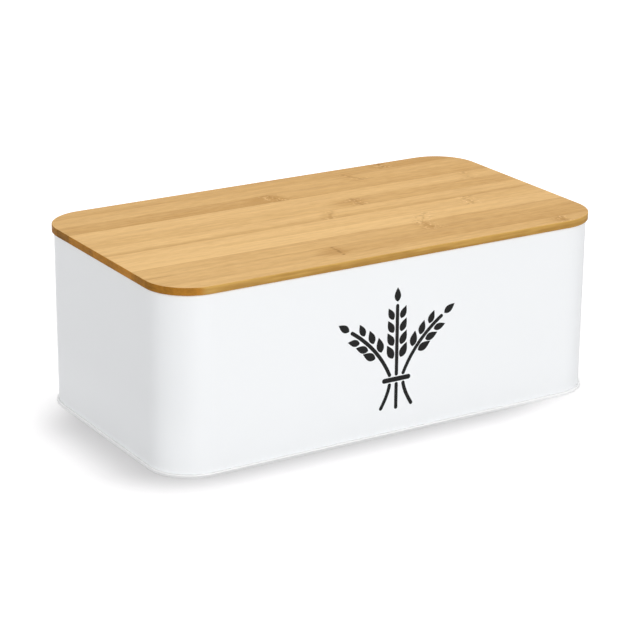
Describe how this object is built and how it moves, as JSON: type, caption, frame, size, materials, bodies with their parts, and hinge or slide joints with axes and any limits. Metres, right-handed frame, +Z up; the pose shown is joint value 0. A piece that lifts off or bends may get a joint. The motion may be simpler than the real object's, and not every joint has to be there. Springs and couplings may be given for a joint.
{
  "type": "bread box",
  "caption": "Rounded rectangular sheet-metal bread box with a rolled rim, a double-seamed base and a lift-off lid glued up from bamboo strips.",
  "frame": {"origin": "on the surface that the box stands on, below its centre", "axes": "+X along the length, +Z up, the front faces -Y"},
  "size_m": [0.34, 0.189, 0.1274],
  "materials": {
    "white_coat": "satin white powder coat",
    "bamboo": "sanded and oiled, with fine lengthwise fibres",
    "silicone": "matt, slightly translucent",
    "print_ink": "charcoal screen print on the coat of the front wall"
  },
  "bodies": {
    "box": {"wall_shell": "white_coat", "base_pan": "white_coat"},
    "lid": {"lid_strip_01": "bamboo", "lid_strip_02": "bamboo", "lid_strip_03": "bamboo", "lid_strip_04": "bamboo", "lid_strip_05": "bamboo", "lid_strip_06": "bamboo", "lid_strip_07": "bamboo", "lid_strip_08": "bamboo", "lid_strip_09": "bamboo", "lid_strip_10": "bamboo", "lid_strip_11": "bamboo", "lid_seal": "silicone"}
  },
  "joints": [
    {"name": "lid_lift", "type": "slide", "parent": "box", "child": "lid", "axis": [0, 0, 1], "range_m": [0, 0.2]}
  ]
}
